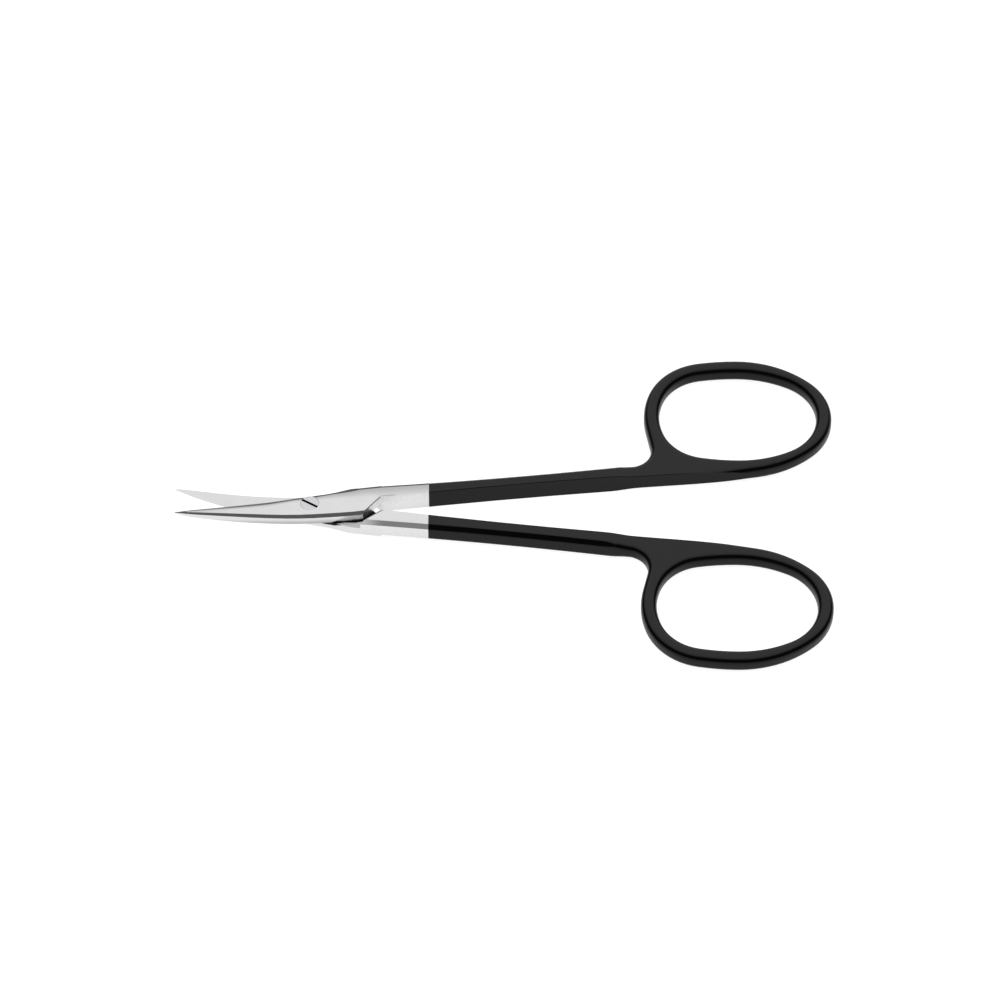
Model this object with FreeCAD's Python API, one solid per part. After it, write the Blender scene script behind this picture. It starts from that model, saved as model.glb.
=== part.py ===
import FreeCAD, Part
import math
import os

V = FreeCAD.Vector

# Small surgical scissors, lying flat and slightly open.
# X runs from the screw towards the finger rings, Z is up, towards the screw
# head. The origin is on the screw's axis, in the flat back face of the joint.
# The front half holds the upper lap and the screw head, the rear half lies
# under it. Each half is drawn closed, along X, and then turned to its place.

# Overall (mm, degrees)
joint_thick = 3.90       # both laps together, also the shank's thickness
half_open = 6.4          # each half is turned this much from closed
lap_gap = 0.025          # each lap stays this far from the middle plane
clear = 30.0             # cutting tools reach this far past the steel

# Blades, drawn along -X
blade_long = 23.5        # screw axis to tip
blade_half = 3.20        # the widest place, from the axis to the spine
curve_start = 4.0        # the upward curve of both blades starts here
curve_radius = 86.0
edge_slope = 43.5        # degrees, of the cutting bevel
rear_slim = 0.16         # the rear blade's spine is this fraction nearer
rear_slim_start = 5.0    # from here,
rear_slim_run = 10.0     # fully after this run
rear_square = 0.50       # by this share the rear half's edge bevel is smaller at the joint

# Shanks. Both sides are very slightly hollow, each one arc seen from above.
shank_outer = 2.84       # the outer wall's distance from the closed middle line
outer_waist_x = 33.0     # where it is nearest
outer_bow = 830.0        # radius of its arc
inner_gap = 0.38         # the same three for the inner wall
inner_waist_x = 42.0
inner_bow = 1000.0
front_bevel = 0.78       # flat bevel on the front outer edge
back_bevel = 0.78        # the one on the back
wheel_radius = 8.0       # the bevels run out where this grinding wheel lifted
wheel_bite = 0.03        # it cut this much deeper than the bevels' flats
bevel_end = 1.0          # they end this far before the neck

# Joint
shank_x = 12.8           # full thickness starts here
lap_x = 8.9              # the blade's loft ends here and the plain lap begins
recess_x = 9.3           # the recess wall leaves the outer wall here
recess_y = 3.1
recess_end_x = 12.5      # and reaches the inner wall here
recess_edge = 0.20       # chamfer on the recess wall's edge at the outer side
recess_corner = 0.55     # and where it reaches the inner wall
shoulder_x = 8.95        # the lap's own shoulder starts at its spine here
shoulder_end_x = 12.2    # and meets the inner wall here
shoulder_bevel = 0.12

# Finger rings
ring_x_front = 76.8
ring_x_rear = 75.9
ring_y = 12.75
ring_half_long = 16.55
ring_half_wide = 12.84
near_flat = 1.8          # the near end's arc has this much more radius than half the width
near_flat_turn = 20.0    # and takes this angle, degrees, to each side
near_corner = 1.6        # the arcs at the near corners have this much less
ring_far_ease = 2.35     # and so has the one at the far end,
hole_far_ease = 1.2      # which is rounder in the hole
band_end = 2.70          # width of the ring's band at its two ends
band_side = 2.78         # and along its two sides
ring_tilt = -6.3
ring_thick = 3.00
edge_round = 1.05
neck_radius = 3.9
neck_lean_front = 4.5    # degrees, of the ring's straight side above the neck
neck_lean_rear = 6.5
thin_near = -24.5        # the shank thins to the ring's thickness here
thin_far = -18.7
stock_slope = 3.5        # degrees, of the inner wall before it is ground hollow

# Pivot screw
head_radius = 1.58
head_height = 0.95
head_sink = 0.08
screw_radius = 1.0
running_fit = 0.04
slot_width = 0.36
slot_depth = 0.45
slot_turn = -30.7

mid_z = joint_thick / 2
lap_height = mid_z - lap_gap

# Blade stations. X is a share of the blade's length, the next ones are shares of
# its half width or of the lap's height: cutting side, height of the edge wall,
# height of the cutting bevel, spine side, spine bevel, total height.
stations = [
    (lap_x / blade_long, 0.922, 0.640, 0.360, -0.984, 0.260, 1.000),
    (0.213, 0.781, 0.623, 0.364, -1.000, 0.260, 1.000),
    (0.043, 0.688, 0.545, 0.416, -0.969, 0.260, 1.000),
    (-0.128, 0.700, 0.312, 0.571, -0.888, 0.249, 1.000),
    (-0.298, 0.675, 0.125, 0.700, -0.750, 0.239, 0.997),
    (-0.468, 0.600, 0.073, 0.680, -0.609, 0.229, 0.977),
    (-0.638, 0.469, 0.062, 0.630, -0.469, 0.197, 0.883),
    (-0.809, 0.300, 0.052, 0.500, -0.319, 0.156, 0.665),
    (-0.936, 0.131, 0.042, 0.310, -0.175, 0.104, 0.416),
    (-1.000, 0.012, 0.031, 0.040, -0.050, 0.042, 0.187),
]


def box(x0, x1, y0, y1, z0, z1):
    return Part.makeBox(x1 - x0, y1 - y0, z1 - z0, V(x0, y0, z0))


def prism(points, z0, z1):
    wire = Part.makePolygon([V(x, y, z0) for x, y in points + points[:1]])
    return Part.Face(wire).extrude(V(0, 0, z1 - z0))


def rise(x):
    run = max(0.0, -x - curve_start)
    return run * run / (2 * curve_radius)


def section(station, sign):
    """Closed outline of the blade across X; sign is 1 in front, -1 at the back."""
    along, cut, wall, bevel, spine, spine_bevel, height = station
    x = along * blade_long
    cut *= blade_half
    spine *= blade_half
    wall *= lap_height
    bevel *= lap_height
    spine_bevel *= lap_height
    height *= lap_height
    inner = mid_z + sign * lap_gap + rise(x)
    if sign < 0:
        joint_share = min(1.0, max(0.0, (rear_slim_start - x) / rear_slim_run))
        spine *= 1 - rear_slim * joint_share
        squared = bevel * rear_square * (1 - joint_share)
        wall += squared
        bevel -= squared
    width = bevel / math.tan(math.radians(edge_slope))
    points = [
        (cut, 0),
        (cut, wall),
        (cut - width, min(wall + bevel, height)),
        (spine + spine_bevel, height),
        (spine, height - spine_bevel),
        (spine, 0),
    ]
    ring = [V(x, sign * y, inner + sign * z) for y, z in points]
    return Part.makePolygon(ring + ring[:1])


def blade(sign):
    body = Part.makeLoft([section(s, sign) for s in stations], True, False)
    first = stations[0]
    end = (shank_x / blade_long, outer_y(shank_x) / blade_half) + first[2:]
    return body, Part.makeLoft([section(end, sign), section(first, sign)], True, True)


def shoulder_cut():
    """What leaves the front lap's slanting shoulder, with a bevel on its edge."""
    start = V(shoulder_x, -blade_half, 0)
    end = V(shoulder_end_x, inner_y(shoulder_end_x), 0)
    past = shank_x + shoulder_bevel
    wall = [(start.x, -blade_half - clear), (start.x, start.y), (end.x, end.y), (past, end.y), (past, -clear)]
    along = (end - start).normalize()
    inward = V(-along.y, along.x, 0)
    spare = shoulder_bevel / 2
    points = [
        (shoulder_bevel + spare, joint_thick + spare),
        (-spare, joint_thick - shoulder_bevel - spare),
        (-2 * spare, joint_thick + spare),
    ]
    foot = start - along * 2 * spare
    wedge = [foot + inward * side + V(0, 0, z) for side, z in points]
    bevel = Part.Face(Part.makePolygon(wedge + wedge[:1])).extrude(end - foot + along * spare)
    return prism(wall, mid_z, joint_thick + 1).fuse(bevel)


def recess_cut():
    """Room for the other half's lap, with a chamfer that widens to the inner wall."""
    floor = mid_z + lap_gap
    low = inner_y(recess_end_x)
    wall = [(0, clear), (recess_x, clear), (recess_x, recess_y), (recess_end_x, low)]
    wall += [(recess_end_x, low - 1), (0, low - 1)]
    room = prism(wall, -1, floor)
    widths = [0, recess_edge, recess_edge, recess_corner, recess_corner, 0]
    levels = []
    for grow, z in ((0, 1), (2, -1)):
        line = [V(x + w * grow, y, z * recess_edge) for (x, y), w in zip(wall, widths)]
        levels.append(Part.makePolygon(line + line[:1]))
    return room.fuse(Part.makeLoft(levels, True, True))


def near_points(half_long, half_wide):
    """The near half of the oval: where its side, corner and end arcs meet, and mid points."""
    end_r = half_wide + near_flat
    corner_r = half_wide - near_corner
    turn = math.radians(near_flat_turn)
    centre = V(end_r - half_long - (end_r - corner_r) * math.cos(turn), (end_r - corner_r) * math.sin(turn), 0)
    rest = half_wide - centre.y
    side_r = (centre.x ** 2 + rest ** 2 - corner_r ** 2) / (2 * (rest - corner_r))
    side_centre = V(0, half_wide - side_r, 0)
    side_turn = math.atan2(centre.y - side_centre.y, centre.x)
    corner_mid = (side_turn + math.pi - turn) / 2
    side_mid = (side_turn + math.pi / 2) / 2
    return [
        side_centre + V(math.cos(side_mid), math.sin(side_mid), 0) * side_r,
        centre + V(math.cos(side_turn), math.sin(side_turn), 0) * corner_r,
        centre + V(math.cos(corner_mid), math.sin(corner_mid), 0) * corner_r,
        centre + V(-math.cos(turn), math.sin(turn), 0) * corner_r,
    ]


def far_points(half_long, half_wide, end_r):
    """The far half: a mid point of its side arc, and where that meets the end arc."""
    flat = half_long - end_r
    side_r = (flat ** 2 + half_wide ** 2 - end_r ** 2) / (2 * (half_wide - end_r))
    turn = math.atan2(side_r - half_wide, flat)
    mid = (turn + math.pi / 2) / 2
    side_centre = V(0, half_wide - side_r, 0)
    return [
        side_centre + V(math.cos(mid), math.sin(mid), 0) * side_r,
        V(flat + end_r * math.cos(turn), end_r * math.sin(turn), 0),
    ]


def oval(centre_x, half_long, half_wide, far_ease):
    """Eight tangent arcs, each as three points, from the middle of the lower side."""
    near = near_points(half_long, half_wide)
    far = far_points(half_long, half_wide, half_wide - far_ease)
    upper = [V(0, half_wide, 0)] + near + [V(-half_long, 0, 0)]
    lower = [V(p.x, -p.y, 0) for p in upper]
    far_low = [V(p.x, -p.y, 0) for p in far]
    path = [lower[0], far_low[0], far_low[1], V(half_long, 0, 0), far[1], far[0]]
    path += upper + lower[-2::-1]
    tilt = FreeCAD.Rotation(V(0, 0, 1), ring_tilt)
    place = [V(centre_x, ring_y, 0) + tilt.multVec(p) for p in path]
    return [place[i:i + 3] for i in range(0, len(place) - 1, 2)]


def hole_wire(centre_x):
    half_long = ring_half_long - band_end
    half_wide = ring_half_wide - band_side
    arcs = oval(centre_x, half_long, half_wide, hole_far_ease)
    return Part.Wire([Part.Arc(*points).toShape() for points in arcs])


def on_circle(circle, degrees):
    turn = math.radians(degrees)
    return circle.Center + V(math.cos(turn), math.sin(turn), 0) * circle.Radius


def outer_y(x):
    return shank_outer + (x - outer_waist_x) ** 2 / (2 * outer_bow)


def inner_y(x):
    return inner_gap - (x - inner_waist_x) ** 2 / (2 * inner_bow)


def neck_arc(line_point, neck_lean):
    """Arc between the ring's leaning side and the shank's hollow outer wall."""
    lean = math.radians(neck_lean)
    along = V(math.sin(lean), -math.cos(lean), 0)
    left = V(-math.cos(lean), -math.sin(lean), 0)
    wall = V(outer_waist_x, shank_outer + outer_bow, 0)
    reach = outer_bow - neck_radius
    # The arc's centre is its radius from the side and reach from the wall's centre.
    start = line_point + left * neck_radius - wall
    half_b = start.dot(along)
    run = -half_b + math.sqrt(half_b ** 2 - start.dot(start) + reach ** 2)
    centre = wall + start + along * run
    top = centre - left * neck_radius
    end = wall + (centre - wall).normalize() * outer_bow
    middle = centre + ((top + end) * 0.5 - centre).normalize() * neck_radius
    return top, middle, end


def part_of(arc, start, end):
    """The arc's stretch between two angles, in degrees."""
    circle = Part.Arc(*arc).toShape().Curve
    return Part.Arc(on_circle(circle, start), on_circle(circle, (start + end) / 2), on_circle(circle, end))


def angle_at(arc, point):
    out = point - Part.Arc(*arc).toShape().Curve.Center
    return math.degrees(math.atan2(out.y, out.x))


def handle_outline(centre_x, neck_lean):
    arcs = oval(centre_x, ring_half_long, ring_half_wide, ring_far_ease)
    low_side, end_side = arcs[0], arcs[5]
    start = lap_x
    # The stock of the inner wall leaves the ring's lower side along a tangent.
    low_arc = part_of(low_side, stock_slope - 90, angle_at(low_side, low_side[2]))
    left_arc = part_of(end_side, angle_at(end_side, end_side[0]), 180 + neck_lean)
    touch = low_arc.StartPoint
    low = touch.y - (touch.x - start) * math.tan(math.radians(stock_slope))
    neck_top, neck_mid, neck_end = neck_arc(left_arc.EndPoint, neck_lean)
    outer_start = V(start, outer_y(start), 0)
    outer_mid = V(outer_waist_x, shank_outer, 0)
    curves = [Part.LineSegment(V(start, low, 0), touch), low_arc]
    curves += [Part.Arc(*points) for points in arcs[1:5]]
    curves += [
        left_arc,
        Part.LineSegment(left_arc.EndPoint, neck_top),
        Part.Arc(neck_top, neck_mid, neck_end),
        Part.Arc(neck_end, outer_mid, outer_start),
        Part.LineSegment(outer_start, V(start, low, 0)),
    ]
    return Part.Wire([curve.toShape() for curve in curves])


def soft_step(x0, z0, x1, z1):
    """Two equal arcs that lead from one level to another."""
    half_run = (x1 - x0) / 2
    fall = z0 - z1
    radius = (half_run ** 2 + fall ** 2 / 4) / abs(fall)
    turn = math.atan2(abs(fall) / 2, half_run)
    dx = radius * math.sin(turn)
    dz = math.copysign(radius * (1 - math.cos(turn)), fall)
    middle = V(x0 + half_run, 0, (z0 + z1) / 2)
    return [
        Part.Arc(V(x0, 0, z0), V(x0 + dx, 0, z0 - dz), middle),
        Part.Arc(middle, V(x1 - dx, 0, z1 + dz), V(x1, 0, z1)),
    ]


def side_outline(centre_x):
    """The handle seen from the side: the ring is thinner than the shank."""
    near = centre_x + thin_near
    far = centre_x + thin_far
    end = centre_x + clear
    top = joint_thick
    ring_top = mid_z + ring_thick / 2
    ring_low = mid_z - ring_thick / 2
    curves = [Part.LineSegment(V(lap_x, 0, top), V(near, 0, top))]
    curves += soft_step(near, top, far, ring_top)
    curves.append(Part.LineSegment(V(far, 0, ring_top), V(end, 0, ring_top)))
    curves.append(Part.LineSegment(V(end, 0, ring_top), V(end, 0, ring_low)))
    curves.append(Part.LineSegment(V(end, 0, ring_low), V(far, 0, ring_low)))
    curves += soft_step(near, 0, far, ring_low)[::-1]
    curves.append(Part.LineSegment(V(near, 0, 0), V(lap_x, 0, 0)))
    curves.append(Part.LineSegment(V(lap_x, 0, 0), V(lap_x, 0, top)))
    edges = [curve.toShape() for curve in curves]
    wire = Part.Wire(Part.__sortEdges__(edges))
    return wire.translated(V(0, -clear, 0))


def bevel_cutter(centre_x, leg, sign):
    """What a grinding wheel takes off the outer edge; it lifts before the neck."""
    axis = V(outer_waist_x, shank_outer + outer_bow, 0)
    spare = leg / 2
    end_x = centre_x - ring_half_long - neck_radius - bevel_end
    start_turn = math.degrees(math.asin(-outer_waist_x / outer_bow))
    end_turn = math.degrees(math.asin((end_x - outer_waist_x) / outer_bow))
    flat = [(-leg - spare, spare), (spare, -leg - spare), (3 * leg, spare)]
    points = [axis + V(0, out - outer_bow, joint_thick + up) for out, up in flat]
    flat = Part.Face(Part.makePolygon(points + points[:1]))
    flat.rotate(axis, V(0, 0, 1), start_turn)
    flat = flat.revolve(axis, V(0, 0, 1), end_turn - start_turn)
    out = V(0, math.sqrt(0.5), math.sqrt(0.5))
    across = V(0, math.sqrt(0.5), -math.sqrt(0.5))
    foot = V(end_x, outer_y(end_x) - leg / 2, joint_thick - leg / 2)
    start = foot - across * 1.3 * leg + out * (wheel_radius - wheel_bite)
    cutter = flat.fuse(Part.makeCylinder(wheel_radius, 2.6 * leg, start, across))
    if sign < 0:
        cutter = cutter.mirror(V(0, 0, mid_z), V(0, 0, 1))
    return cutter


def slab(wire, low, high):
    return Part.Face(wire).extrude(V(0, 0, high - low)).translated(V(0, 0, low))


def stock(centre_x, neck_lean):
    """The handle with its ring, before its edges are rounded and its inner side ground."""
    plan = slab(handle_outline(centre_x, neck_lean), -1, joint_thick + 1)
    side = Part.Face(side_outline(centre_x)).extrude(V(0, 3 * clear, 0))
    return plan.common(side).cut(slab(hole_wire(centre_x), -1, joint_thick + 1))


def rounded(body, radius):
    """Rounds the long edges; the upright ones and the start face stay sharp."""
    picked = []
    for edge in body.Edges:
        size = edge.BoundBox
        if size.XLength > 1e-3 and size.XMax > lap_x + 1e-3:
            picked.append(edge)
    return body.makeFillet(radius, picked)


def inner_wall(centre_x):
    """The stock that is ground off the inner side, down to its hollow wall."""
    far = centre_x + ring_half_long / 3
    near = V(0, inner_y(0), 0)
    end = V(far, inner_y(far), 0)
    edges = [
        Part.Arc(near, V(inner_waist_x, inner_gap, 0), end).toShape(),
        Part.LineSegment(end, V(far, -clear, 0)).toShape(),
        Part.LineSegment(V(far, -clear, 0), V(0, -clear, 0)).toShape(),
        Part.LineSegment(V(0, -clear, 0), near).toShape(),
    ]
    return slab(Part.Wire(edges), -1, joint_thick + 1)


def handle(centre_x, neck_lean):
    body = rounded(stock(centre_x, neck_lean), edge_round)
    body = body.cut(inner_wall(centre_x))
    body = body.cut(bevel_cutter(centre_x, front_bevel, 1))
    body = body.cut(bevel_cutter(centre_x, back_bevel, -1))
    lap_room = box(0, shank_x, -clear, clear, mid_z + lap_gap, joint_thick + 1)
    return body.cut(lap_room).cut(recess_cut())


def turned(shape, angle):
    return shape.rotated(V(0, 0, 0), V(0, 0, 1), angle)


def flipped(shape):
    return shape.rotated(V(0, 0, mid_z), V(1, 0, 0), 180)


def half(centre_x, neck_lean, sign):
    """One steel half, blade, lap, shank and ring, turned to its place."""
    stem = handle(centre_x, neck_lean)
    shoulder = shoulder_cut()
    if sign < 0:
        stem = flipped(stem)
        shoulder = flipped(shoulder)
    body, lap = blade(sign)
    steel = body.fuse([lap, stem]).cut(shoulder).removeSplitter()
    return turned(steel, sign * half_open)


def disc(radius, z0, z1):
    return Part.makeCylinder(radius, z1 - z0, V(0, 0, z0))


def pivot_screw():
    top = joint_thick - head_sink
    seat = top - head_height
    screw = disc(head_radius, seat, top).fuse(disc(screw_radius, 0, seat))
    slot = box(-3, 3, -slot_width / 2, slot_width / 2, top - slot_depth, top + 1)
    slot.rotate(V(0, 0, 0), V(0, 0, 1), slot_turn)
    return screw.cut(slot)


def build():
    front = half(ring_x_front, neck_lean_front, 1)
    rear = half(ring_x_rear, neck_lean_rear, -1)
    seat = joint_thick - head_sink - head_height
    front = front.cut(disc(head_radius + running_fit, seat - running_fit, joint_thick + 1))
    front = front.cut(disc(screw_radius + running_fit, -1, joint_thick + 1))
    rear = rear.cut(disc(screw_radius, -1, joint_thick + 1))
    return {
        "front_half": front,
        "rear_half": rear,
        "pivot_screw": pivot_screw(),
    }


def main():
    os.makedirs("parts", exist_ok=True)
    for name, shape in build().items():
        print(name, shape.isValid(), len(shape.Solids), round(shape.Volume, 2))
        if len(shape.Solids) == 1:
            shape = shape.Solids[0]
        shape.exportStep("parts/" + name + ".step")


main()
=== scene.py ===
import math

import bpy
from mathutils import Matrix, Vector


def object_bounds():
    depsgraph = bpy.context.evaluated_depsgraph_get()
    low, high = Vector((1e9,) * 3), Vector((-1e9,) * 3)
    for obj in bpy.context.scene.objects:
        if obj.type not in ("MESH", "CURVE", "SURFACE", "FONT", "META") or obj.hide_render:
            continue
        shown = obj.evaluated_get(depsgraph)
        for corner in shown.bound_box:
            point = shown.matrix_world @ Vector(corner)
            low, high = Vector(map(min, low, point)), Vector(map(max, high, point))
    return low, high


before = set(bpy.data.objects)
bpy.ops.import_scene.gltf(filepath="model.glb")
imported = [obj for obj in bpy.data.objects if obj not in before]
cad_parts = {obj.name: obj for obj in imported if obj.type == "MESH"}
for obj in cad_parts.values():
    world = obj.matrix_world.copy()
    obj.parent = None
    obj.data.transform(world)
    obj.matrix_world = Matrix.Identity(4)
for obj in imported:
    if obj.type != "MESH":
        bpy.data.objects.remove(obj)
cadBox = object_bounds()
print("frame loaded:", ", ".join(sorted(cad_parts)))

# Small surgical scissors: two ground steel halves with black handles and a
# slotted screw. X runs towards the finger rings, Z is up, lengths in metres.


class Value:
    # A number or vector that comes out of a node; sums and products add Math nodes.

    def __init__(self, maker, socket):
        self.maker = maker
        self.socket = socket

    def math(self, operation, first, second):
        return self.maker.value("ShaderNodeMath", {"operation": operation}, {0: first, 1: second})

    def __add__(self, other):
        return self.math("ADD", self, other)

    def __radd__(self, other):
        return self.math("ADD", other, self)

    def __sub__(self, other):
        return self.math("SUBTRACT", self, other)

    def __rsub__(self, other):
        return self.math("SUBTRACT", other, self)

    def __mul__(self, other):
        return self.math("MULTIPLY", self, other)

    def __rmul__(self, other):
        return self.math("MULTIPLY", other, self)

    def __truediv__(self, other):
        return self.math("DIVIDE", self, other)

    def __rtruediv__(self, other):
        return self.math("DIVIDE", other, self)

    def __abs__(self):
        return self.math("ABSOLUTE", self, 0.0)


class Maker:
    # Adds nodes to one tree.

    def __init__(self, tree):
        self.tree = tree
        tree.nodes.clear()

    def node(self, kind, settings=None, sockets=None):
        made = self.tree.nodes.new(kind)
        for name, setting in (settings or {}).items():
            setattr(made, name, setting)
        for name, value in (sockets or {}).items():
            if isinstance(value, Value):
                self.tree.links.new(value.socket, made.inputs[name])
            elif isinstance(value, bpy.types.NodeSocket):
                self.tree.links.new(value, made.inputs[name])
            else:
                made.inputs[name].default_value = value
        return made

    def value(self, kind, settings=None, sockets=None, output=0):
        return Value(self, self.node(kind, settings, sockets).outputs[output])

    def coordinates(self, kind):
        return self.value("ShaderNodeTexCoord", output=kind)

    def lightPath(self, kind):
        # 1 for one kind of ray, 0 for the others.
        return self.value("ShaderNodeLightPath", output=kind)

    def turned(self, vector, degrees, scale=(1, 1, 1)):
        return self.value("ShaderNodeMapping", {"vector_type": "POINT"}, {
            "Vector": vector,
            "Rotation": (0, 0, math.radians(degrees)),
            "Scale": scale,
        })

    def split(self, vector):
        node = self.node("ShaderNodeSeparateXYZ", sockets={0: vector})
        return [Value(self, node.outputs[i]) for i in range(3)]

    def noise(self, vector, scale, detail=2.0, rough=0.5):
        return self.value("ShaderNodeTexNoise", None, {
            "Vector": vector, "Scale": scale, "Detail": detail, "Roughness": rough,
        }, "Fac")

    def step(self, value, low, high, first=0.0, last=1.0):
        # Goes smoothly from first to last while value goes from low to high.
        return self.value("ShaderNodeMapRange", {"interpolation_type": "SMOOTHSTEP"}, {
            "Value": value, "From Min": low, "From Max": high, "To Min": first, "To Max": last,
        })

    def fade(self, value, low, high):
        # A step from 1 down to 0.
        return self.step(value, low, high, 1.0, 0.0)

    def between(self, value, low, high, soft):
        # 1 inside the range, 0 outside it.
        rise = self.step(value, low - soft, low + soft)
        return rise * self.fade(value, high - soft, high + soft)

    def either(self, first, second):
        # The larger of two masks.
        return self.value("ShaderNodeMath", {"operation": "MAXIMUM"}, {0: first, 1: second})

    def bentLine(self, value, points):
        # Straight from point to point, level past both ends.
        total = points[0][1]
        for (x0, y0), (x1, y1) in zip(points, points[1:]):
            total = self.value("ShaderNodeMapRange", None, {
                "Value": value, "From Min": x0, "From Max": x1, "To Min": 0.0, "To Max": y1 - y0,
            }) + total
        return total

    def mixed(self, factor, first, second):
        # Between two colours.
        return self.value("ShaderNodeMix", {"data_type": "RGBA"}, {
            0: factor, 6: first, 7: second,
        }, 2)

    def tinted(self, colour, factor):
        # A colour made darker by a factor.
        return self.value("ShaderNodeVectorMath", {"operation": "SCALE"}, {
            0: colour, "Scale": factor,
        })

    def bump(self, height):
        # The height is in micrometres.
        return self.value("ShaderNodeBump", None, {"Height": height, "Distance": 1e-6}, "Normal")


def newMaterial(name):
    material = bpy.data.materials.new(name)
    material.use_nodes = True
    return material, Maker(material.node_tree)


def closeMaterial(maker, sockets):
    shader = maker.node("ShaderNodeBsdfPrincipled", None, sockets)
    maker.node("ShaderNodeOutputMaterial", None, {"Surface": shader.outputs[0]})


# The two halves: ground steel, black from coatStart on. They are one kind of piece, turned
# over for the rear half: u runs along a half towards its ring, v across it to its outer edge.

halfLook = {
    "angle": 6.4,             # degrees from X to the half's length, as photographed
    "steel": (0.80, 0.80, 0.81, 1.0),
    "steelDull": (0.77, 0.77, 0.78, 1.0),
    "steelRoughness": 0.27,
    "cloudNoise": (260.0, 3.0, 0.55),        # faint clouds: scale, detail, roughness
    "cloudRange": (0.35, 0.75),
    "cloudGloss": 0.04,       # how much they change the roughness
    "grindAngle": 78.0,       # degrees from the half's length to the grind lines
    "grindLength": 0.004,     # how long one grind line runs
    "grindPitch": 0.00006,    # and how far apart they are
    "grindNoise": (1.0, 3.0, 0.6),
    "grindDepth": 0.6,        # micrometres
    "grindGloss": 0.07,
    "paintedFaceShade": 0.66,        # painted shade: the flat face is darkened to this where it ends at its edge
    "paintedFaceShadeRun": ((0.0, 0.0006), (0.014, 0.0026)),   # along u, how wide that shade is
    "edgePaintedShade": (0.06, 0.06, 0.063, 1.0),   # painted shade on the bevel of the cutting edge and outer wall, and on the face beside it
    "edgeRoughness": 0.9,
    "edgeShadeRun": (-0.020, 0.002),          # u, from the tip to the joint
    "edgeShadeStrength": (0.66, 0.90),                # and how strong that painted shade is there
    "edgeLine": (             # along u, where the flat face ends at that bevel
        (-0.0220, -0.00021), (-0.0190, -0.00005), (-0.0150, 0.00020), (-0.0110, 0.00048),
        (-0.0070, 0.00068), (-0.0030, 0.00108), (0.0010, 0.00120), (0.0050, 0.00158),
        (0.0089, 0.00204), (0.0128, 0.00216), (0.0207, 0.00199),
    ),
    "edgeSoft": 0.00006,
    "spineRoughness": 0.36,
    "spineBevelShade": 0.34,  # painted shade: the bevels along spine and shank are darkened to this
    "spineWallShade": (0.55, 0.95),          # and the spine's wall, painted darker from its foot
    "spineWallRise": 0.0013,                 # up to here
    "spineWallEnd": (0.003, 0.006),          # u
    "backRoughness": 0.50,    # the bevels that the turned-over side shows
    # painted shade: those bevels are darkened to this
    "backBevelShade": 0.66,
    "backHighlightEnd": (0.0100, 0.0135),         # u, up to where a painted highlight makes them pale
    "backHighlightRougher": 0.25,
    "lapPaintedShadow": (0.012, 0.012, 0.012, 1.0),   # painted shadow on the faces that slide on each other, and in the corner beside them
    "lapPlane": 0.00195,      # z
    "lapNear": 0.0001,        # how near that plane a face has to lie
    "lapSoft": 0.00003,
    "lapRun": (-0.0005, 0.0124, 0.0006),     # u, and the softness of both ends
    "lapSide": (              # along u, where the painted shadow ends at the rim's painted highlight
        (0.0022, 0.0030), (0.0039, 0.0028), (0.0064, 0.0021), (0.0082, 0.0019), (0.0093, 0.0015),
    ),
    "lapSideSoft": 0.0001,
    "lapInner": ((0.0038, 0.0022), (0.0064, 0.0013), (0.0080, 0.0007), (0.0106, -0.0008)),
    "lapInnerSoft": 0.0007,
    # painted highlight: the pale of the lap's rim and of the back bevels near the joint
    "highlightPale": (0.90, 0.90, 0.91, 1.0),
    "lapRimRougher": 0.4,
    # along u, how high up the outer wall the corner's painted shadow reaches
    "wedge": ((-0.0008, 0.0), (0.0012, 0.0004), (0.0030, 0.0007), (0.0046, 0.0007), (0.0062, 0.0)),
    "wedgeSoft": (-0.00012, 0.00002),
    "wedgeRun": (-0.0006, 0.0061, 0.0002),
    "milledRoughness": 0.40,  # of the milled walls of the joint
    "milledRun": (0.008, 0.0135, 0.0002),
    "coat": (0.0045, 0.0045, 0.005, 1.0),
    "coatRoughness": 0.16,
    "coatStart": 0.0207,      # x, where the black coat begins
    "coatEdge": 0.00006,      # softness of its edge
    "coatSpecular": 0.35,
    "coatWallShade": 0.60,     # painted shade: upright walls of the coat reflect this much less
    "coatWallRougher": 0.22,
    "coatBevelShade": 0.93,    # and its bevels and rounded edges
    "coatCloudGloss": 0.05,
    "coatGrain": 0.00035,     # size of the coat's faint waviness
    "coatGrainDepth": 1.0,    # micrometres
    "coatGrainGloss": 0.04,
    "innerLine": (            # along u, where the shank's flat face ends at the inner wall
        (0.0207, 0.00015), (0.030, 0.00031), (0.042, 0.00038), (0.054, 0.00031), (0.066, 0.00009),
    ),
    "innerEdgeShade": (-0.0001, 0.00016, 0.00005),     # a line of painted shade there
    "innerEdgeShadeEnd": (0.062, 0.070),
    "cornerShade": (0.05, 0.05, 0.05, 1.0),         # painted shade along an edge and a corner behind the front half's shoulder
    "cornerShadeStrength": 0.45,
    "cornerShadePlace": 0.01233,     # u
    "cornerShadeEnd": 0.0150,
    "cornerShadeTop": 0.00027,       # v
    "cornerShadeFoot": -0.0013,
    "cornerShadeWidth": 0.00010,
    "cornerShadeHeight": (0.0036, 0.0038),          # z of the face that it is on
}

# Which face is which, told from its normal. The upright part of the normal, without its
# sign, is 1 on a level face and 0 on a wall.

faceLimits = {
    "wall": (0.1, 0.3),
    "bevel": (0.40, 0.88, 0.03),
    "rounding": (0.50, 0.90, 0.08),
    "level": (0.93, 0.98),
    "outward": (0.2, 0.4),    # looks to the half's outer edge
    "outside": (0.2, 0.4),    # looks away from the other half
    "outerWall": (0.6, 0.8),
    "innerWall": (-0.8, -0.6),
    "milledWall": (0.4, 0.5),                # looks along X, to either end
    "notChamfer": (-0.45, -0.35),            # keeps the recess's chamfer out of the spine
}


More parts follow.
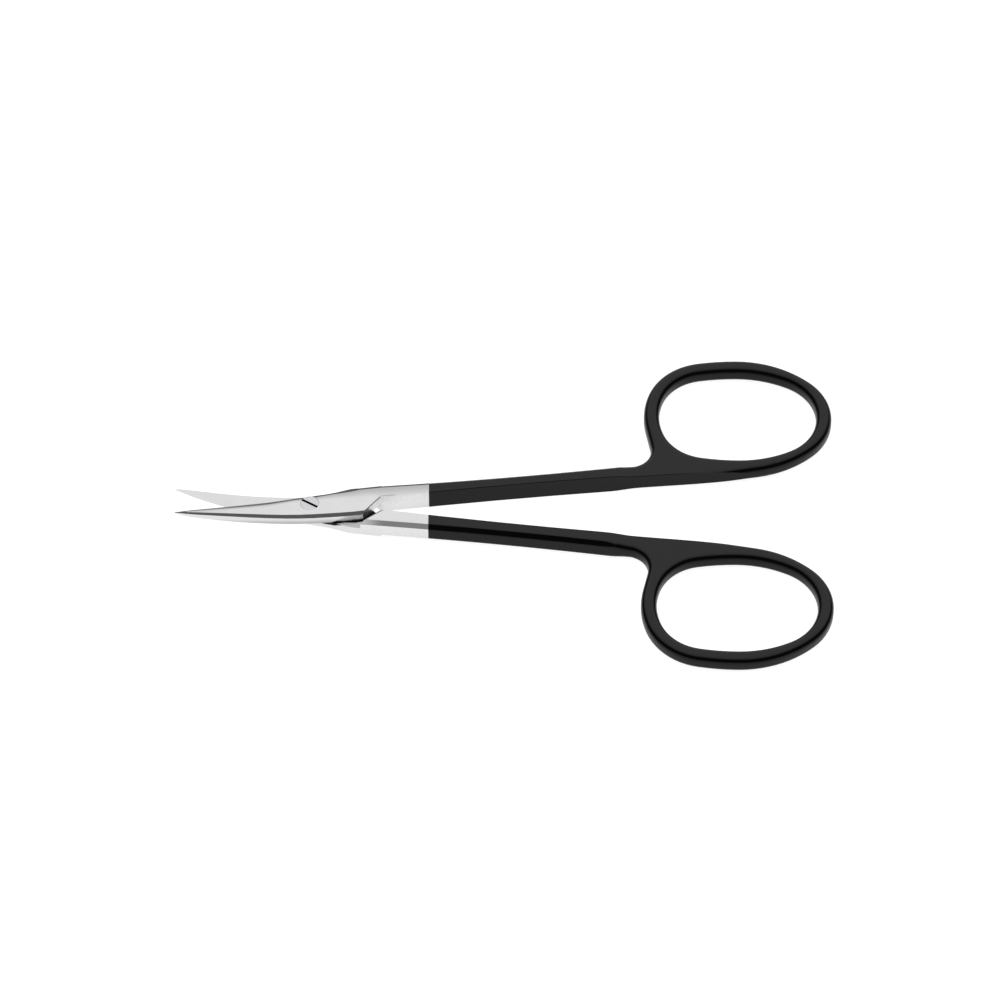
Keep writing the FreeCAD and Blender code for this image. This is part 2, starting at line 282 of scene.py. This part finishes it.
class Half:
    # Where a point of one half lies and what kind of face it is on. The side is 1 for the
    # front half and -1 for the rear one.

    def __init__(self, maker, side, look, limits):
        self.side = side
        self.turn = side * look["angle"]
        self.place = maker.coordinates("Object")
        self.x, _, self.z = maker.split(self.place)
        self.u, across, _ = maker.split(maker.turned(self.place, -self.turn))
        self.v = across * side
        self.rise = (self.z - look["lapPlane"]) * side
        nx, ny, nz = maker.split(maker.coordinates("Normal"))
        ny = ny * side
        self.flat = abs(nz)
        outward = maker.step(ny, *limits["outward"])
        outside = maker.step(nz * side, *limits["outside"])
        self.level = maker.step(self.flat, *limits["level"])
        self.face = self.level * outside
        bevel = maker.between(self.flat, *limits["bevel"])
        self.edge = bevel * outward * outside
        self.back = bevel * outward * (1 - outside)
        self.spine = bevel * (1 - outward) * maker.step(nx, *limits["notChamfer"])
        self.rounding = maker.between(self.flat, *limits["rounding"])
        wall = maker.fade(self.flat, *limits["wall"])
        self.outerWall = wall * maker.step(ny, *limits["outerWall"])
        self.innerWall = wall * maker.fade(ny, *limits["innerWall"])
        self.milledWall = wall * maker.step(abs(nx), *limits["milledWall"])


def lapMasks(maker, half, look):
    # Painted shadow on the sliding faces, and a painted highlight on their rim.
    onLap = maker.between(half.rise, -look["lapNear"], look["lapNear"], look["lapSoft"])
    onLap = onLap * half.level * maker.between(half.u, *look["lapRun"])
    pastSide = half.v - maker.bentLine(half.u, look["lapSide"])
    rim = maker.step(pastSide, -look["lapSideSoft"], look["lapSideSoft"])
    pastInner = half.v - maker.bentLine(half.u, look["lapInner"])
    dark = onLap * (1 - rim) * maker.step(pastInner, -look["lapInnerSoft"], 0.0)
    return dark, onLap * rim


def wedgeMask(maker, half, look):
    # Painted shadow that fills the corner between the lap and the other half.
    above = half.rise - maker.bentLine(half.u, look["wedge"])
    onWall = half.outerWall * maker.fade(above, *look["wedgeSoft"])
    return onWall * maker.between(half.u, *look["wedgeRun"])


def cornerShadeMask(maker, half, look):
    # Painted shade: two thin dark strokes that meet in a corner.
    width = look["cornerShadeWidth"]
    place, top = look["cornerShadePlace"], look["cornerShadeTop"]
    down = maker.between(half.u, place - width, place + width, width * 0.7)
    down = down * maker.between(half.v, look["cornerShadeFoot"], top, width * 2)
    along = maker.between(half.v, top - width, top + width, width * 0.7)
    along = along * maker.between(half.u, place, look["cornerShadeEnd"], width * 4)
    return maker.either(down, along) * half.level * maker.step(half.z, *look["cornerShadeHeight"])


def shade(mask, share):
    # The share inside the mask, 1 outside it.
    return 1 - mask * (1 - share)


def steelColour(maker, half, look, cloud, lap, paintedHighlight):
    fromEdge = maker.bentLine(half.u, look["edgeLine"]) - half.v
    shadeRun = maker.bentLine(half.u, look["paintedFaceShadeRun"])
    paintedFaceShade = maker.step(fromEdge / shadeRun, 0.0, 1.0, look["paintedFaceShade"], 1.0)
    spineWall = half.innerWall * maker.fade(half.u, *look["spineWallEnd"])
    wallShade = maker.step(half.rise, 0.0, look["spineWallRise"], *look["spineWallShade"])
    # Painted shade, darkening the face towards its edge, the spine's wall at its foot and the
    # bevels.
    paintedShade = shade(half.face, paintedFaceShade) * shade(spineWall, wallShade)
    paintedShade = paintedShade * shade(half.spine, look["spineBevelShade"])
    paintedShade = paintedShade * shade(half.back, look["backBevelShade"])
    steel = maker.mixed(maker.step(cloud, *look["cloudRange"]), look["steel"], look["steelDull"])
    steel = maker.mixed(paintedHighlight, maker.tinted(steel, paintedShade), look["highlightPale"])
    # Painted shade on the cutting edge's bevel and on the face beside it.
    nearEdge = maker.fade(fromEdge, -look["edgeSoft"], look["edgeSoft"]) * half.face
    edgeShadeStrength = maker.step(half.u, *look["edgeShadeRun"], *look["edgeShadeStrength"])
    steel = maker.mixed(maker.either(half.edge, nearEdge) * edgeShadeStrength, steel, look["edgePaintedShade"])
    # Painted shadow on the lap and in the corner beside it.
    paintedShadow = maker.either(lap, wedgeMask(maker, half, look))
    steel = maker.mixed(paintedShadow, steel, look["lapPaintedShadow"])
    # Painted shade along an edge and a corner behind the shoulder.
    if half.side > 0:
        steel = maker.mixed(cornerShadeMask(maker, half, look) * look["cornerShadeStrength"], steel, look["cornerShade"])
    return steel


def steelRoughness(maker, half, look, grind, cloud, rim, backHighlight):
    plain = look["steelRoughness"]
    milled = half.milledWall * maker.between(half.u, *look["milledRun"])
    rough = plain + look["grindGloss"] * (grind - 0.5) + look["cloudGloss"] * (cloud - 0.5)
    for mask, own in (
        (half.spine, look["spineRoughness"]),
        (half.back, look["backRoughness"]),
        (milled, look["milledRoughness"]),
        (half.edge, look["edgeRoughness"]),
    ):
        rough = rough + mask * (own - plain)
    return rough + backHighlight * look["backHighlightRougher"] + rim * look["lapRimRougher"]


def coatPaintedShade(maker, half, look):
    # Painted shade on walls, bevels and a line along the inner edge: a share of metal, which in so
    # dark a colour reflects less than the coat's own gloss.
    walls = (1 - half.flat) * look["coatWallShade"]
    walls = maker.either(walls, half.rounding * look["coatBevelShade"])
    innerEdgeShade = maker.between(half.v - maker.bentLine(half.u, look["innerLine"]), *look["innerEdgeShade"])
    innerEdgeShade = innerEdgeShade * half.face * maker.fade(half.u, *look["innerEdgeShadeEnd"])
    return maker.either(innerEdgeShade, walls)


def coatRoughness(half, look, cloud, grain):
    rough = look["coatRoughness"] + look["coatCloudGloss"] * (cloud - 0.5)
    rough = rough + look["coatGrainGloss"] * (grain - 0.5)
    return rough + (1 - half.flat) * look["coatWallRougher"]


def halfMaterial(name, side, look):
    material, maker = newMaterial(name)
    half = Half(maker, side, look, faceLimits)
    start, soft = look["coatStart"], look["coatEdge"]
    coat = maker.step(half.x, start - soft, start + soft)
    bare = 1 - coat
    length, pitch = 1 / look["grindLength"], 1 / look["grindPitch"]
    lines = maker.turned(half.place, -half.turn - look["grindAngle"], (length, pitch, length))
    grind = maker.noise(lines, *look["grindNoise"])
    cloud = maker.noise(half.place, *look["cloudNoise"])
    grain = maker.noise(half.place, 1 / look["coatGrain"])
    lap, rim = lapMasks(maker, half, look)
    # A painted highlight on the back bevels near the joint.
    backHighlight = half.back * maker.fade(half.u, *look["backHighlightEnd"])
    steel = steelColour(maker, half, look, cloud, lap, maker.either(rim, backHighlight))
    steelRough = steelRoughness(maker, half, look, grind, cloud, rim, backHighlight)
    coatRough = coatRoughness(half, look, cloud, grain)
    height = grind * bare * look["grindDepth"] + grain * coat * look["coatGrainDepth"]
    closeMaterial(maker, {
        "Base Color": maker.mixed(coat, steel, look["coat"]),
        "Metallic": bare * (1 - rim) + coat * coatPaintedShade(maker, half, look),
        "Roughness": steelRough * bare + coatRough * coat,
        "Specular IOR Level": look["coatSpecular"],
        "Normal": maker.bump(height),
    })
    return material


# The screw: its head is turned, and its slot is painted dark as shadow.

screwLook = {
    "steel": (0.76, 0.76, 0.775, 1.0),
    "steelDull": (0.66, 0.66, 0.68, 1.0),
    "cloudScale": 900.0,
    "roughness": 0.26,
    "ringPitch": 0.00007,     # turning marks on the head
    "ringDepth": 1.2,         # micrometres
    "ringGloss": 0.12,        # how much they change the roughness
    "slotShade": (0.011, 0.011, 0.011, 1.0),
    "slotInside": (0.002, 0.00378, 0.00002),   # z of the slot's floor and walls
    "slotTurn": -30.7,        # degrees from X
    "slotHalf": 0.00023,      # half its width
    "slotSoft": 0.00002,
    "slotRim": (0.0037, 0.0038),               # z of its upper rim
}


def screwMaterial(name, look):
    material, maker = newMaterial(name)
    place = maker.coordinates("Object")
    z = maker.split(place)[2]
    level = maker.value("ShaderNodeVectorMath", {"operation": "MULTIPLY"}, {0: place, 1: (1, 1, 0)})
    radius = maker.value("ShaderNodeVectorMath", {"operation": "LENGTH"}, {0: level}, "Value")
    rings = maker.value("ShaderNodeTexNoise", {"noise_dimensions": "1D"}, {
        "W": radius / look["ringPitch"], "Scale": 1.0, "Detail": 2.0,
    }, "Fac")
    cloud = maker.noise(place, look["cloudScale"])
    steel = maker.mixed(cloud, look["steel"], look["steelDull"])
    across = maker.split(maker.turned(place, -look["slotTurn"]))[1]
    rim = maker.between(across, -look["slotHalf"], look["slotHalf"], look["slotSoft"])
    rim = rim * maker.step(z, *look["slotRim"])
    # Painted shadow in the slot and along its upper rim.
    slot = maker.either(maker.between(z, *look["slotInside"]), rim)
    closeMaterial(maker, {
        "Base Color": maker.mixed(slot, steel, look["slotShade"]),
        "Metallic": 1.0,
        "Roughness": look["roughness"] + look["ringGloss"] * (rings - 0.5),
        "Normal": maker.bump(rings * look["ringDepth"]),
    })
    return material


def dress(node, material):
    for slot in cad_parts[node].material_slots:
        slot.material = material


dress("front_half", halfMaterial("frontSteelAndCoat", 1, halfLook))
dress("rear_half", halfMaterial("rearSteelAndCoat", -1, halfLook))
dress("pivot_screw", screwMaterial("turnedScrewSteel", screwLook))
print("materials set")


# The studio: a white floor, and soft light from above and behind that leaves the camera's
# side darker. To the camera the background is white.

studio = {
    "floorRadius": 3.0,
    "floorMiddle": 0.033,     # x
    "floorGap": 0.00002,      # below the scissors
    "floorWhite": 0.45,
    "floorToCamera": 0.92,
    "floorToGloss": 0.78,
    "capTilt": 62.0,          # elevation of the soft light's middle, on the far side
    "capAngle": 52.0,         # half its opening
    "capSoft": 9.0,
    "capLevel": 0.92,
    "darkLevel": 0.30,        # everywhere else
}


def makeFloor(look):
    bpy.ops.mesh.primitive_circle_add(
        vertices=64, radius=look["floorRadius"], fill_type="NGON",
        location=(look["floorMiddle"], 0, cadBox[0].z - look["floorGap"]),
    )
    floor = bpy.context.object
    floor.name = "floor"
    material, maker = newMaterial("whiteFloor")
    camera = maker.lightPath("Is Camera Ray")
    shiny = maker.lightPath("Is Glossy Ray") + maker.lightPath("Is Transmission Ray")
    white = (look["floorWhite"],) * 3 + (1.0,)
    diffuse = maker.node("ShaderNodeBsdfDiffuse", None, {"Color": white})
    glow = maker.node("ShaderNodeEmission", None, {
        "Color": (1, 1, 1, 1),
        "Strength": camera * look["floorToCamera"] + shiny * look["floorToGloss"],
    })
    both = maker.node("ShaderNodeAddShader", None, {0: diffuse.outputs[0], 1: glow.outputs[0]})
    maker.node("ShaderNodeOutputMaterial", None, {"Surface": both.outputs[0]})
    floor.data.materials.append(material)


def makeWorld(look):
    world = bpy.data.worlds.new("studio")
    world.use_nodes = True
    bpy.context.scene.world = world
    maker = Maker(world.node_tree)
    tilt = math.radians(look["capTilt"])
    toCap = maker.value("ShaderNodeVectorMath", {"operation": "DOT_PRODUCT"}, {
        0: maker.coordinates("Generated"), 1: (0, math.cos(tilt), math.sin(tilt)),
    }, "Value")
    inner = math.cos(math.radians(look["capAngle"] - look["capSoft"]))
    outer = math.cos(math.radians(look["capAngle"] + look["capSoft"]))
    level = maker.step(toCap, outer, inner, look["darkLevel"], look["capLevel"])
    camera = maker.lightPath("Is Camera Ray")
    background = maker.node("ShaderNodeBackground", None, {
        "Color": (1, 1, 1, 1), "Strength": level * (1 - camera) + camera,
    })
    maker.node("ShaderNodeOutputWorld", None, {"Surface": background.outputs[0]})


makeFloor(studio)
makeWorld(studio)
print("studio ready")


# The camera, fitted to the photograph.

shot = {
    "aim": (0.0331005, 0.0014809, 0.0032155),
    "distance": 0.947438,
    "elevation": 50.605,      # degrees
    "turn": -0.4415,          # degrees about the upright axis
    "lens": 195.86,           # millimetres, as the sensor
    "sensor": 36.0,
    "clip": (0.01, 20.0),
}


def makeCamera(look):
    elevation = math.radians(look["elevation"])
    turn = math.radians(look["turn"])
    forward = Vector((
        math.sin(turn) * math.cos(elevation),
        math.cos(turn) * math.cos(elevation),
        -math.sin(elevation),
    ))
    right = Vector((math.cos(turn), -math.sin(turn), 0))
    up = right.cross(forward)
    data = bpy.data.cameras.new("camera")
    data.lens = look["lens"]
    data.sensor_width = look["sensor"]
    data.clip_start, data.clip_end = look["clip"]
    camera = bpy.data.objects.new("camera", data)
    bpy.context.scene.collection.objects.link(camera)
    columns = Matrix((right, up, -forward)).transposed()
    camera.matrix_world = Matrix.Translation(
        Vector(look["aim"]) - forward * look["distance"]
    ) @ columns.to_4x4()
    bpy.context.scene.camera = camera


makeCamera(shot)
bpy.context.scene.view_settings.view_transform = "Standard"
print("camera ready")
